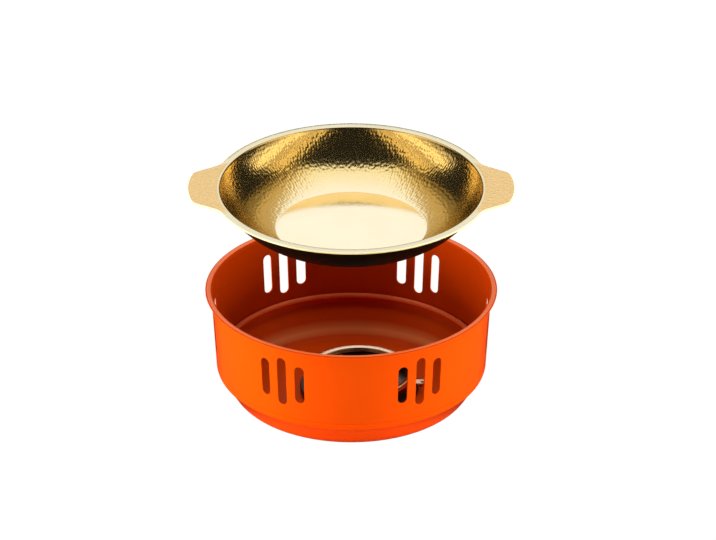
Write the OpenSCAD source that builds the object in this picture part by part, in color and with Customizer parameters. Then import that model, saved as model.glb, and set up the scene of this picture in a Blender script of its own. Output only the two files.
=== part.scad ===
// Single-serving chafing dish: a slotted sheet-steel stove with an alcohol burner on its floor,
// and a two-eared hammered pan that is lifted off the rim.
// Millimetres, +Z up. The origin is the centre of the stove's underside, and the ears lie along X.

/* [Stove shell] */
// Outer diameter of the lip along the rim
rim_d = 240; // [200:1:280]
// Height of the stove, from the table to the top of the rim
stove_h = 96.4; // [92:0.2:120]
// Thickness of the stove's sheet
sheet = 1.2; // [0.8:0.1:1.6]
// How far the lip along the rim stands out from the wall
rim_lip_w = 4.8; // [3.5:0.1:8]
// Radius of the bend under that lip
rim_bend = 1.2; // [0.8:0.1:2]
// How far the wall leans in from the rim to the seam, along the radius
wall_lean = 4.2; // [1:0.1:8]
// Height of the seam between the shell and the base pan
seam_z = 29.5; // [27:0.5:34]

/* [Vent slots] */
// Number of slot groups round the wall
slot_groups = 6; // [3:1:8]
// Width of a slot
slot_w = 8.2; // [5:0.1:10]
// Spacing of neighbouring slots in a group, along the wall
slot_pitch = 16; // [13:0.5:20]
// Length of the two outer slots of a group
slot_short = 34.2; // [20:0.2:40]
// Length of the middle slot of a group
slot_long = 43.8; // [24:0.2:46]
// Height of the middle of the slots
slot_mid_z = 62.8; // [61:0.1:65]

/* [Base pan] */
// How far the edge of the flat foot lies inside the seam
foot_inset = 28.5; // [26:0.5:45]
// Radius of the bend from the foot to the lower wall
corner_r = 19; // [12:0.5:20]
// Radius of the shoulder under the seam
shoulder_r = 9.8; // [7:0.1:11]
// Angle through which the shoulder bends in
shoulder_sweep = 58; // [40:1:65]
// Height of the collar that stands inside the shell
collar_h = 5; // [4.5:0.5:8]
// Diameter of the roll along the collar's top edge
collar_roll_d = 4; // [3.6:0.1:4.4]
// Gap between that collar and the shell
lap_gap = 0.15; // [0.1:0.05:0.4]

/* [Burner] */
// How far the burner stands from the stove's axis, towards its lever
burner_x = 6.6; // [0:0.2:12]
// Outer diameter of the fuel cup's neck
cup_d = 84; // [66:0.5:88]
// How far the fuel cup's wide lower part stands out from its neck
tank_step = 7; // [4:0.5:9]
// Height of that lower part
tank_h = 5.5; // [4:0.1:6]
// Height of the burner, from its underside to the top of its ring
burner_h = 18.5; // [18:0.1:26]
// Thickness of the fuel cup's sheet
cup_wall = 1; // [0.6:0.1:1.4]
// Gap between the burner and the floor it stands on
seat_gap = 0.3; // [0.2:0.05:0.4]
// Thickness of the steel ring on the cup
ring_t = 1; // [0.6:0.1:1.2]
// Depth of the steel ring's skirts
ring_skirt = 4; // [3:0.1:5]
// Thickness of the fibre wick pad
pad_h = 4.5; // [3:0.5:5]
// Thickness of the perforated flame plate
plate_t = 0.8; // [0.5:0.1:1]
// Diameter of the holes in the flame plate
plate_hole_d = 3.2; // [2:0.1:4]
// Spacing of the rings of holes in the flame plate
plate_pitch = 8; // [6:0.5:9]
// Gap round the pad, the flame plate and the inner skirt of the ring
drop_gap = 0.2; // [0.1:0.05:0.4]

/* [Air regulator] */
// Thickness of the turning sleeve
sleeve_wall = 1; // [0.8:0.1:1.2]
// Radial running fit of the sleeve on the cup
run_fit = 0.08; // [0.04:0.01:0.1]
// Number of air ports round the cup and the sleeve
port_count = 8; // [5:1:10]
// Diameter of an air port
port_d = 4.6; // [3:0.1:5]
// Distance from the burner's axis to the lever's knob
lever_reach = 52; // [52:0.5:60]
// Width of the lever
lever_w = 7; // [6.5:0.1:9]
// Thickness of the lever
lever_t = 1.2; // [0.8:0.1:1.6]
// Diameter of the lever's rivets
rivet_d = 2; // [1.5:0.1:2.2]
// Diameter of the lever's ball knob
knob_d = 4.6; // [4:0.1:5]
// Diameter of the pin that holds the knob
knob_pin_d = 2.2; // [1.6:0.1:2.4]

/* [Pan] */
// How far the pan's flange reaches past the stove's mouth
flange_lap = 1; // [0.4:0.1:3]
// Width of the flat flange
flange_w = 7.2; // [5:0.1:9]
// Thickness of the pan's sheet
pan_sheet = 1.5; // [1:0.1:2]
// Inner depth of the bowl
pan_depth = 36.5; // [26:0.5:38]
// Diameter of the bowl's flat floor
pan_floor_d = 124; // [90:1:130]
// Radius of the bowed bowl wall, seen in section
pan_wall_r = 66; // [60:1:140]
// How far the ears reach past the flange
ear_reach = 19.2; // [15:0.1:30]
// Width across an ear's tip before its corners are rounded
ear_tip_w = 48; // [40:0.5:60]
// Angle at which each side of an ear opens towards the bowl
ear_flare = 32; // [20:0.5:36]
// Radius of an ear's corners
ear_corner_r = 10; // [6:0.5:12]
// Radius of the fillet between an ear and the flange
ear_root_r = 14; // [8:0.5:20]
// Radius of the slight crown along an ear's tip
ear_crown_r = 82; // [60:1:120]
// Gap between the flange and the rim when the pan is seated
ear_gap = 0.3; // [0.2:0.05:0.6]
// Height of the lifted pan above its seat
pan_lift = 91.8; // [45:0.2:120]

/* [Hidden] */
$fn = 96;
ARC_STEPS = 12;
// Past a face, so that a cut comes out clean
CUT = 1;

// Rim and wall of the shell
rim_r = rim_d / 2;
wall_r_top = rim_r - rim_lip_w;
bend_c = [wall_r_top + rim_bend, stove_h - sheet - rim_bend];
mouth_r = wall_r_top - sheet;
seam_r = wall_r_top - wall_lean;
slot_step = slot_pitch / (wall_r_top - wall_lean / 2) * 180 / PI;
SLOTS_PER_GROUP = [-1, 0, 1];

// Base pan: the shoulder's and the corner's centres, and the straight wall between them
foot_r = seam_r - foot_inset;
shoulder_c = [seam_r - shoulder_r, seam_z];
corner_c = [foot_r, corner_r];
kink = polar(shoulder_c, shoulder_r, -shoulder_sweep);
kink_away = norm(kink - corner_c);
kink_angle = atan2(kink[1] - corner_c[1], kink[0] - corner_c[0]);
corner_end = kink_angle - acos(corner_r / kink_away);
collar_r = seam_r - sheet - lap_gap;
roll_r = collar_roll_d / 2;
roll_c = [collar_r - roll_r, seam_z + collar_h - roll_r];
ROLL_END = 215;
JOG_ANGLE = -10;

// Burner, built up from the stove's floor
cup_r = cup_d / 2;
cup_in_r = cup_r - cup_wall;
cup_z = sheet + seat_gap;
burner_top = cup_z + burner_h;
ring_in_r = cup_in_r - drop_gap - ring_t;
sleeve_in_r = cup_r + run_fit;
sleeve_r = sleeve_in_r + sleeve_wall;
RING_GAP = 0.4;
ring_r = sleeve_r + RING_GAP + ring_t;
cup_top = burner_top - ring_t;
tank_r = cup_r + tank_step;
tank_top = cup_z + tank_h;
pad_z = cup_z + cup_wall;
plate_z = pad_z + pad_h;
drop_r = cup_in_r - drop_gap;

// The sleeve stands on the wide part of the cup and ends under the ring's skirt
sleeve_z = tank_top + seat_gap;
sleeve_top = burner_top - ring_skirt - seat_gap;
port_z = (max(plate_z + plate_t, sleeve_z) + sleeve_top) / 2;
port_turn = 360 / port_count / 2;

// Lever: a foot on the sleeve, an arm under the rivets, a knob under its tip
LEVER_RISE = 0.9;
arm_z = sleeve_z + LEVER_RISE;
FOOT_H = 6;
lever_face = sleeve_r + lever_t;
rivet_z = arm_z + (FOOT_H + lever_t) / 2;
rivet_y = lever_w / 4;
RIVET_FIT = 0.05;
RIVET_HEAD = 0.8;
RIVET_INSET = 0.25;
HEAD_SPREAD = 1.45;
KNOB_NECK = 0.7;

// Pan, at its photographed height above the rim
flange_r = mouth_r + flange_lap;
lip_r = flange_r - flange_w;
floor_r = pan_floor_d / 2;
pan_z = stove_h + ear_gap + pan_sheet + pan_lift;
wall_chord = [lip_r - floor_r, pan_depth];
wall_bow = sqrt(pan_wall_r * pan_wall_r - wall_chord * wall_chord / 4);
wall_side = [-wall_chord[1], wall_chord[0]] / norm(wall_chord);
pan_wall_c = [(lip_r + floor_r) / 2, -pan_depth / 2] + wall_side * wall_bow;
pan_out_r = pan_wall_r + pan_sheet;
wall_low_angle = -acos((floor_r - pan_wall_c[0]) / pan_wall_r);
wall_high_angle = -asin(pan_wall_c[1] / pan_wall_r);
under_low_angle = -asin((pan_wall_c[1] + pan_depth + pan_sheet) / pan_out_r);
under_high_angle = -asin((pan_wall_c[1] + pan_sheet) / pan_out_r);

// Ear: its straight side as a normal and a distance, then the arcs that touch it and one another
ear_tip_x = flange_r + ear_reach;
ear_side = [sin(ear_flare), cos(ear_flare)];
ear_along = [cos(ear_flare), -sin(ear_flare)];
ear_away = ear_side * [ear_tip_x, ear_tip_w / 2];
crown_c = [ear_tip_x - ear_crown_r, 0];
corner_out = ear_crown_r - ear_corner_r;
crown_angle = 90 - ear_flare - acos((ear_away - ear_corner_r - ear_side * crown_c) / corner_out);
ear_corner_c = polar(crown_c, corner_out, crown_angle);
root_out = flange_r + ear_root_r;
root_up = ear_away + ear_root_r;
ear_root_c = ear_side * root_up + ear_along * sqrt(root_out * root_out - root_up * root_up);
root_angle = atan2(ear_root_c[1], ear_root_c[0]);

ORANGE = [0.94, 0.33, 0.06];
GOLD = [0.93, 0.76, 0.42];
STEEL = [0.78, 0.77, 0.75];
BLACK = [0.11, 0.10, 0.10];
FIBRE = [0.80, 0.77, 0.70];

// A point at an angle on a circle, and a run of such points
function polar(c, r, a) = c + r * [cos(a), sin(a)];
function arc(c, r, a0, a1) = [for (i = [0 : ARC_STEPS]) polar(c, r, a0 + (a1 - a0) * i / ARC_STEPS)];
function mirrored(points) = [for (i = [len(points) - 1 : -1 : 0]) [points[i][0], -points[i][1]]];

// A slot's outline, with its length along X and round ends
module slot_outline(length) {
    reach = (length - slot_w) / 2;
    square([2 * reach, slot_w], center = true);
    for (x = [-reach, reach]) translate([x, 0]) circle(d = slot_w);
}

// All the slots, as bars that point outwards through the wall
module slot_cuts() {
    for (g = [0 : slot_groups - 1], s = SLOTS_PER_GROUP)
        rotate([0, 0, g * 360 / slot_groups + s * slot_step])
            translate([seam_r - wall_lean - sheet - CUT, 0, slot_mid_z])
                rotate([0, 90, 0])
                    linear_extrude(2 * wall_lean + 2 * sheet + 2 * CUT)
                        slot_outline(s == 0 ? slot_long : slot_short);
}

// Drafted wall whose top edge is turned outwards into a flat lip
module stove_shell() {
    color(ORANGE) difference() {
        rotate_extrude() polygon(concat(
            [[seam_r - sheet, seam_z], [seam_r, seam_z]],
            arc(bend_c, rim_bend, 180, 90),
            [[rim_r, stove_h - sheet], [rim_r, stove_h]],
            arc(bend_c, rim_bend + sheet, 90, 180)));
        slot_cuts();
    }
}

// Dished pan under the shell: foot, corner, lower wall, shoulder, and a rolled collar inside the shell
module base_pan() {
    color(ORANGE) rotate_extrude() polygon(concat(
        [[0, 0]],
        arc(corner_c, corner_r, -90, corner_end),
        arc(shoulder_c, shoulder_r, -shoulder_sweep, 0),
        [[collar_r, seam_z]],
        arc(roll_c, roll_r, 0, ROLL_END),
        arc(roll_c, roll_r - sheet, ROLL_END, 0),
        [[collar_r - sheet, seam_z - sheet]],
        arc(shoulder_c, shoulder_r - sheet, JOG_ANGLE, -shoulder_sweep),
        arc(corner_c, corner_r - sheet, corner_end, -90),
        [[0, sheet]]));
}

// The burner stands a little off the stove's axis
module at_burner() {
    translate([burner_x, 0, 0]) children();
}

// Air ports through a wall of the burner, half a step away from the lever
module port_cuts(from_r) {
    for (i = [0 : port_count - 1])
        rotate([0, 0, port_turn + i * 360 / port_count])
            translate([from_r, 0, port_z])
                rotate([0, 90, 0])
                    cylinder(d = port_d, h = sleeve_r - from_r + CUT);
}

// Enamelled cup that holds the fuel: a wide low tank with a neck on it
module fuel_cup() {
    tank_in_r = tank_r - cup_wall;
    tank_roof = tank_top - cup_wall;
    color(BLACK) at_burner() difference() {
        rotate_extrude() polygon([
            [0, cup_z], [tank_in_r, cup_z], [tank_r, pad_z], [tank_r, tank_roof], [tank_in_r, tank_top],
            [cup_r, tank_top], [cup_r, cup_top], [cup_in_r, cup_top], [cup_in_r, tank_roof],
            [tank_in_r, tank_roof], [tank_in_r, pad_z], [0, pad_z]]);
        port_cuts(cup_in_r - CUT);
    }
}

// Fibre pad that soaks up the fuel
module wick_pad() {
    color(FIBRE) at_burner() translate([0, 0, pad_z]) cylinder(r = drop_r, h = pad_h);
}

// Perforated plate that lies on the pad, with rings of six, twelve, eighteen holes and so on
module flame_plate() {
    last_ring = floor((drop_r - plate_hole_d) / plate_pitch);
    color(STEEL) at_burner() translate([0, 0, plate_z]) difference() {
        cylinder(r = drop_r, h = plate_t);
        for (k = [0 : last_ring], i = [0 : max(6 * k, 1) - 1])
            rotate([0, 0, i * 360 / max(6 * k, 1)])
                translate([k * plate_pitch, 0, -CUT])
                    cylinder(d = plate_hole_d, h = plate_t + 2 * CUT, $fn = 24);
    }
}

// Steel ring: a channel that plugs into the cup and hangs over the sleeve
module burner_ring() {
    skirt_z = burner_top - ring_skirt;
    edge = ring_t / 2;
    color(STEEL) at_burner() rotate_extrude() polygon([
        [ring_in_r, skirt_z], [ring_in_r, burner_top - edge], [ring_in_r + edge, burner_top],
        [ring_r - edge, burner_top], [ring_r, burner_top - edge], [ring_r, skirt_z],
        [ring_r - ring_t, skirt_z], [ring_r - ring_t, cup_top], [drop_r, cup_top], [drop_r, skirt_z]]);
}

// Sleeve that turns on the cup and opens or closes its air ports
module regulator_sleeve() {
    color(BLACK) at_burner() difference() {
        translate([0, 0, sleeve_z]) cylinder(r = sleeve_r, h = sleeve_top - sleeve_z);
        translate([0, 0, sleeve_z - CUT]) cylinder(r = sleeve_in_r, h = sleeve_top - sleeve_z + 2 * CUT);
        port_cuts(cup_in_r);
        rivet_holes();
    }
}

// Bores for the lever's rivets
module rivet_holes() {
    for (y = [-rivet_y, rivet_y])
        translate([sleeve_in_r - CUT, y, rivet_z])
            rotate([0, 90, 0])
                cylinder(d = rivet_d + 2 * RIVET_FIT, h = sleeve_wall + lever_t + 2 * CUT);
}

// Bent strip: a foot that lies on the sleeve and an arm with a round tip
module regulator_lever() {
    color(STEEL) at_burner() difference() {
        union() {
            translate([sleeve_r - sleeve_wall, -lever_w / 2, arm_z])
                cube([lever_t + sleeve_wall, lever_w, FOOT_H]);
            translate([sleeve_r - sleeve_wall, -lever_w / 2, arm_z])
                cube([lever_reach - sleeve_r + sleeve_wall, lever_w, lever_t]);
            translate([lever_reach, 0, arm_z]) cylinder(d = lever_w, h = lever_t);
        }
        translate([0, 0, arm_z - CUT]) cylinder(r = sleeve_r, h = FOOT_H + 2 * CUT);
        rivet_holes();
        translate([lever_reach, 0, arm_z - CUT])
            cylinder(d = knob_pin_d + 2 * RIVET_FIT, h = lever_t + 2 * CUT);
    }
}

// Headed-over end of a rivet or a pin
module head(shank_d) {
    cylinder(d1 = HEAD_SPREAD * shank_d, d2 = shank_d, h = RIVET_HEAD);
}

// Two rivets through the sleeve and the lever's foot, flush inside the sleeve
module lever_rivets() {
    flush_x = sleeve_in_r + RIVET_INSET;
    color(STEEL) at_burner() for (y = [-rivet_y, rivet_y])
        translate([flush_x, y, rivet_z]) rotate([0, 90, 0]) {
            cylinder(d = rivet_d, h = lever_face - flush_x);
            translate([0, 0, lever_face - flush_x]) head(rivet_d);
        }
}

// Ball knob under the arm, with a pin that is headed over on top
module lever_knob() {
    color(STEEL) at_burner() translate([lever_reach, 0, arm_z]) {
        difference() {
            translate([0, 0, -knob_d / 2]) sphere(d = knob_d);
            translate([0, 0, -KNOB_NECK]) cylinder(d = 2 * knob_d, h = knob_d);
        }
        translate([0, 0, -KNOB_NECK]) cylinder(d = HEAD_SPREAD * knob_pin_d, h = KNOB_NECK);
        translate([0, 0, -knob_d / 2]) cylinder(d = knob_pin_d, h = knob_d / 2 + lever_t);
        translate([0, 0, lever_t]) head(knob_pin_d);
    }
}

// Outline of the ear on the +X side, from its root on the flange to its crowned tip
module ear_outline() {
    side = concat(
        arc(ear_root_c, ear_root_r, 180 + root_angle, 270 - ear_flare),
        arc(ear_corner_c, ear_corner_r, 90 - ear_flare, crown_angle),
        arc(crown_c, ear_crown_r, crown_angle, 0));
    difference() {
        polygon(concat([[0, 0]], side, mirrored(side)));
        circle(r = flange_r - flange_w / 2);
    }
}

// Spun bowl with a flat flange and two ears in one piece with it
module pan() {
    color(GOLD) translate([0, 0, pan_z]) {
        rotate_extrude() polygon(concat(
            [[0, -pan_depth - pan_sheet]],
            arc(pan_wall_c, pan_out_r, under_low_angle, under_high_angle),
            [[flange_r, -pan_sheet], [flange_r, 0]],
            arc(pan_wall_c, pan_wall_r, wall_high_angle, wall_low_angle),
            [[0, -pan_depth]]));
        for (turn = [0, 180])
            rotate([0, 0, turn]) translate([0, 0, -pan_sheet]) linear_extrude(pan_sheet) ear_outline();
    }
}

stove_shell();
base_pan();
fuel_cup();
wick_pad();
flame_plate();
burner_ring();
regulator_sleeve();
regulator_lever();
lever_rivets();
lever_knob();
pan();
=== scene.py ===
"""Looks of the chafing dish: orange slotted stove, alcohol burner, hammered gold pan."""

import math

import bmesh
import bpy
import numpy as np
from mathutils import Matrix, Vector, kdtree
from mathutils.geometry import delaunay_2d_cdt


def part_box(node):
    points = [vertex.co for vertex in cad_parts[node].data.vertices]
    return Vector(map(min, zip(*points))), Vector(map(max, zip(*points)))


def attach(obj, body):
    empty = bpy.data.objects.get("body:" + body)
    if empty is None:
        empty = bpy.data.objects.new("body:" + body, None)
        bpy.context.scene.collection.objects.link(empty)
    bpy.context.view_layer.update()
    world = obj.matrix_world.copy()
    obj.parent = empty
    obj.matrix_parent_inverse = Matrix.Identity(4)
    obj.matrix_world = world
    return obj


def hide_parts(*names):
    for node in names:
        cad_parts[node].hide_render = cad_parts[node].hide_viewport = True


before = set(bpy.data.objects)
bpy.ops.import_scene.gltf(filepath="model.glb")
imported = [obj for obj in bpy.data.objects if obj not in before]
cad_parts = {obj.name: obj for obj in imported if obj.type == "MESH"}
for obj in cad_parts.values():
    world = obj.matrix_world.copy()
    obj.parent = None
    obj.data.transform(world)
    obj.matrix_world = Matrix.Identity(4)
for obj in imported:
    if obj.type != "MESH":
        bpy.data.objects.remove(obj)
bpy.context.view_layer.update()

MM = 0.001

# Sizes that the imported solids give
shell_low, shell_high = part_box("stove_shell")
_, base_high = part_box("base_pan")
pan_low, pan_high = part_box("pan")
ring_low, ring_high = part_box("burner_ring")
RIM_R = min(shell_high.x, shell_high.y)
STOVE_H = shell_high.z
SEAM_Z = shell_low.z
COLLAR_TOP = base_high.z
PAN_Z = pan_high.z
PAN_BOTTOM = pan_low.z
EAR_TIP_X = pan_high.x
FLANGE_R = pan_high.y
RING_R = (ring_high.x - ring_low.x) / 2
BURNER_X = (ring_high.x + ring_low.x) / 2
RING_TOP = ring_high.z
RING_LOW = ring_low.z

# Stove sheet: lip along the rim, drafted wall and vent slots
SHEET = 1.2 * MM
RIM_LIP_W = 4.8 * MM
RIM_BEND = 1.2 * MM
# LIP_EDGE_W: width of the painted shade along the outer edge of the lip's top
LIP_EDGE_W = 0.4 * MM
LIP_BEND_END = 4
LIP_EDGE_SPLIT = 5
WALL_LEAN = 4.2 * MM
WALL_TOP_R = RIM_R - RIM_LIP_W
BEND_CENTRE = (WALL_TOP_R + RIM_BEND, STOVE_H - SHEET - RIM_BEND)
MID_WALL_R = WALL_TOP_R - WALL_LEAN / 2
SEAM_R = WALL_TOP_R - WALL_LEAN
SLOT_GROUPS = 6
SLOT_W = 8.2 * MM
SLOT_PITCH = 16 * MM
SLOT_LENGTHS = (34.2 * MM, 43.8 * MM, 34.2 * MM)
SLOT_MID_Z = 62.8 * MM
SLOT_EDGE_R = 0.15 * MM
SLOT_GUARD = 1.3 * MM
SLOT_END_POINTS = 12
SLOT_SIDE_POINTS = 14
SLOT_BENDS = 5
WALL_ROWS = 20
SEAM_ROUND = 0.45 * MM
LOWER_EDGE_ROUND = 0.95 * SEAM_ROUND

# Base pan: foot, corner, lower wall, shoulder and rolled collar, with its angles in degrees
FOOT_R = SEAM_R - 28.5 * MM
CORNER_R = 19 * MM
SHOULDER_R = 9.8 * MM
SHOULDER_SWEEP = 58
SHOULDER_STOP = -8
LEDGE_START = -6
LEDGE_ROUND = 0.2 * MM
JOG_ANGLE = -10
LAP_GAP = 0.15 * MM
ROLL_R = 2 * MM
ROLL_END = 215
ROLL_POINTS = 24
BASE_ARC_POINTS = 20
# Painted highlight: radius and half width of a paler ring on the inside floor
HIGHLIGHT_RING_R = 96 * MM
HIGHLIGHT_RING_W = 4.5 * MM

# Pan: bowl, flange and ears, with the trims and the flare in degrees
PAN_SHEET = 1.5 * MM
FLANGE_W = 7.2 * MM
LIP_R = FLANGE_R - FLANGE_W
PAN_DEPTH = PAN_Z - PAN_BOTTOM - PAN_SHEET
PAN_FLOOR_R = 62 * MM
PAN_WALL_R = 66 * MM
LIP_ROUND = 1.2 * MM
LIP_TRIM = 1.0
FLOOR_TRIM = 1.2
FLOOR_ROUND = 6 * MM
FLOOR_RUN = 4 * MM
PAN_FOOT_ROUND = 3 * MM
EAR_TIP_W = 48 * MM
EAR_FLARE = 32
EAR_CORNER_R = 10 * MM
EAR_ROOT_R = 14 * MM
EAR_CROWN_R = 82 * MM
EAR_HALF_W = 50 * MM
EAR_FIRST_X = 95 * MM
POLISHED_W = 1.8 * MM
OUTLINE_SPACING = 0.9 * MM
GUARD_SHARE = 2.2
RIM_BENDS = 7
UNDER_THINNING = 7
EAR_ARC_POINTS = 20
FLANGE_ARC_POINTS = 60
BOWL_ARC_POINTS = 40
OUTSIDE_ARC_POINTS = 26

# Hammer marks: spacing, depth, reach of one blow, its length over its width, how far each strays and
# its force, then their share on the floor and the ears, and where they fade out
HAMMER_PITCH = 2.4 * MM
HAMMER_DEPTH = 0.13 * MM
HAMMER_REACH = 1.5 * MM
HAMMER_STRETCH = 1.6
HAMMER_STRAY = (1.2 * MM, 0.5 * MM)
HAMMER_FORCE = (0.75, 1.1)
FLOOR_MARKS = 0.05
EAR_MARKS = 0.9
LIP_FADE = (0.2 * MM, -2.5 * MM)
FLOOR_FADE = (-4 * MM, 3 * MM)
EAR_FADE = (0.98, 0.8)
EDGE_FADE = 2.5 * MM
NEAR_BLOWS = 6
HAMMER_SEED = 7
BOWL_STEPS = 1152
BOWL_SPACING = 0.5 * MM
EAR_SPACING = 0.6 * MM

# Steps and tolerances of the meshes
SPIN_STEPS = 360
ARC_POINTS = 14
CORNER_POINTS = 6
COARSEST_RING = 45
THIN_OUT = 0.6
FILL_TOLERANCE = 1e-9
LEVEL = 1e-12


# Plane geometry


def polar(centre, radius, degrees):
    """A point on a circle, at an angle in degrees."""
    turn = math.radians(degrees)
    return (centre[0] + radius * math.cos(turn), centre[1] + radius * math.sin(turn))


def arc(centre, radius, first, last, count=ARC_POINTS):
    """Points along an arc, both ends included."""
    return [polar(centre, radius, first + (last - first) * i / count) for i in range(count + 1)]


def rounded(points, radii, count=CORNER_POINTS):
    """An open outline whose corners are rounded, each by its own radius."""
    out = [points[0]]
    for before, corner, after, radius in zip(points, points[1:], points[2:], radii[1:]):
        if radius <= 0:
            out.append(corner)
            continue
        corner_v = Vector(corner)
        to_before = (Vector(before) - corner_v).normalized()
        to_after = (Vector(after) - corner_v).normalized()
        half = to_before.angle(to_after) / 2
        centre = corner_v + (to_before + to_after).normalized() * (radius / math.sin(half))
        start = corner_v + to_before * (radius / math.tan(half)) - centre
        turn = start.angle_signed(corner_v + to_after * (radius / math.tan(half)) - centre)
        for i in range(count + 1):
            step = -turn * i / count
            x = start.x * math.cos(step) - start.y * math.sin(step)
            y = start.x * math.sin(step) + start.y * math.cos(step)
            out.append((centre.x + x, centre.y + y))
    out.append(points[-1])
    return out


def resampled(points, spacing):
    """The same outline with its points at an even spacing."""
    line = np.array(points)
    run = np.concatenate([[0], np.cumsum(np.hypot(*np.diff(line, axis=0).T))])
    count = max(2, int(math.ceil(run[-1] / spacing)) + 1)
    wanted = np.linspace(0, run[-1], count)
    return np.stack([np.interp(wanted, run, line[:, 0]), np.interp(wanted, run, line[:, 1])], axis=1)


# Meshes


class Shape:
    """Vertices and faces that are collected, welded and turned into one object."""

    def __init__(self):
        self.points = []
        self.faces = []
        self.finish = []

    def add(self, points, faces, finish=0):
        """Adds a patch whose faces all take one of the piece's materials."""
        start = len(self.points)
        self.points.extend(tuple(p) for p in points)
        self.faces.extend(tuple(start + i for i in face) for face in faces)
        self.finish.extend([finish] * len(faces))

    def build(self, name, sharp=None, weld=1e-6):
        """One closed, smooth-shaded object with its normals facing outwards."""
        mesh = bpy.data.meshes.new(name)
        mesh.from_pydata(self.points, [], self.faces)
        mesh.polygons.foreach_set("material_index", self.finish)
        work = bmesh.new()
        work.from_mesh(mesh)
        bmesh.ops.remove_doubles(work, verts=work.verts, dist=weld)
        bmesh.ops.dissolve_degenerate(work, edges=work.edges, dist=weld)
        bmesh.ops.recalc_face_normals(work, faces=work.faces)
        work.to_mesh(mesh)
        work.free()
        mesh.shade_smooth()
        if sharp is not None:
            mesh.set_sharp_from_angle(angle=math.radians(sharp))
        piece = bpy.data.objects.new(name, mesh)
        bpy.context.scene.collection.objects.link(piece)
        return piece


def spun(profile, steps=SPIN_STEPS, closed=True):
    """Points and faces of an outline in (radius, height), turned round the Z axis."""
    line = np.array(profile)
    turn = np.arange(steps) * 2 * np.pi / steps
    x = np.outer(np.cos(turn), line[:, 0])
    y = np.outer(np.sin(turn), line[:, 0])
    z = np.broadcast_to(line[:, 1], x.shape)
    points = np.stack([x, y, z], axis=2).reshape(-1, 3)
    count = len(line)
    faces = []
    for a in range(steps):
        b = (a + 1) % steps
        for i in range(count if closed else count - 1):
            j = (i + 1) % count
            faces.append((a * count + i, b * count + i, b * count + j, a * count + j))
    return points, faces


def ring_faces(outer_start, outer_count, inner_start, inner_count):
    """Faces between two rings of points, where the inner ring has as many points or half as many."""
    faces = []
    if inner_count == outer_count:
        for i in range(outer_count):
            j = (i + 1) % outer_count
            faces.append((outer_start + i, outer_start + j, inner_start + j, inner_start + i))
        return faces
    for i in range(inner_count):
        j = (i + 1) % inner_count
        left = outer_start + 2 * i
        middle = left + 1
        right = outer_start + 2 * j
        faces.append((left, middle, inner_start + i))
        faces.append((middle, inner_start + j, inner_start + i))
        faces.append((middle, right, inner_start + j))
    return faces


def stacked(rows, count):
    """Faces between rings that lie in a stack and have as many points each."""
    faces = []
    for row in range(rows - 1):
        faces.extend(ring_faces(row * count, count, (row + 1) * count, count))
    return faces


def dished(profile, steps):
    """Points, directions and faces of a dish from its edge to its centre, with fewer points further in."""
    line = np.array(profile)
    along = np.gradient(line, axis=0)
    along /= np.hypot(along[:, 0], along[:, 1])[:, None]
    edge_r = line[0, 0]
    points = []
    normals = []
    faces = []
    previous = None
    count = steps
    for (radius, height), (run_r, run_z) in zip(line[:-1], along[:-1]):
        sparse = radius / edge_r < THIN_OUT * count / steps
        if sparse and count > COARSEST_RING and count % 2 == 0:
            count //= 2
        turn = np.arange(count) * 2 * np.pi / count
        start = len(points)
        points.extend(zip(radius * np.cos(turn), radius * np.sin(turn), np.full(count, height)))
        normals.extend(zip(run_z * np.cos(turn), run_z * np.sin(turn), np.full(count, -run_r)))
        if previous:
            faces.extend(ring_faces(previous[0], previous[1], start, count))
        previous = (start, count)
    centre = len(points)
    points.append((0.0, 0.0, line[-1, 1]))
    normals.append((0.0, 0.0, 1.0))
    for i in range(previous[1]):
        faces.append((previous[0] + i, previous[0] + (i + 1) % previous[1], centre))
    return np.array(points), np.array(normals), faces


def inside(loop, points):
    """Which points lie inside a closed outline."""
    loop = np.asarray(loop)
    x, y = points[:, 0], points[:, 1]
    within = np.zeros(len(points), bool)
    for (x0, y0), (x1, y1) in zip(loop, np.roll(loop, -1, axis=0)):
        crosses = (y0 > y) != (y1 > y)
        rise = y1 - y0 if y1 != y0 else LEVEL
        within ^= crosses & (x < (x1 - x0) * (y - y0) / rise + x0)
    return within


def filled(outline, holes, inner_points):
    """Triangles that fill an outline around its holes, through the given inner points."""
    points = []
    edges = []
    for loop in [outline] + list(holes):
        start = len(points)
        points.extend(Vector(p) for p in loop)
        edges.extend((start + i, start + (i + 1) % len(loop)) for i in range(len(loop)))
    points.extend(Vector(p) for p in inner_points)
    flat, _, faces, _, _, _ = delaunay_2d_cdt(points, edges, [], 0, FILL_TOLERANCE)
    flat = np.array([tuple(p) for p in flat])
    middles = np.array([flat[list(face)].mean(axis=0) for face in faces])
    kept = inside(outline, middles)
    for hole in holes:
        kept &= ~inside(hole, middles)
    return flat, [face for face, keep in zip(faces, kept) if keep]


def point_tree(points):
    """A search tree over points in space."""
    tree = kdtree.KDTree(len(points))
    for i, point in enumerate(points):
        tree.insert(point, i)
    tree.balance()
    return tree


def nearest_gap(points, loop):
    """Distance from each point to the nearest point of an outline."""
    tree = point_tree([(x, y, 0.0) for x, y in loop])
    return np.array([tree.find((x, y, 0.0))[2] for x, y in points])


# Stove shell


def slot_loop(middle, length, grow=0.0):
    """A slot's outline in (distance along the wall, height), grown by a margin."""
    radius = SLOT_W / 2 + grow
    reach = (length - SLOT_W) / 2
    top = arc((middle, SLOT_MID_Z + reach), radius, 0, 180, SLOT_END_POINTS)
    bottom = arc((middle, SLOT_MID_Z - reach), radius, 180, 360, SLOT_END_POINTS)
    rows = np.linspace(-reach, reach, SLOT_SIDE_POINTS)[1:-1]
    left = [(middle - radius, SLOT_MID_Z - z) for z in rows]
    right = [(middle + radius, SLOT_MID_Z + z) for z in rows]
    return top + left + bottom + right


def wall_radius(height):
    """Outer radius of the drafted wall at a height."""
    return SEAM_R + WALL_LEAN * (height - SEAM_Z) / (BEND_CENTRE[1] - SEAM_Z)


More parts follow.
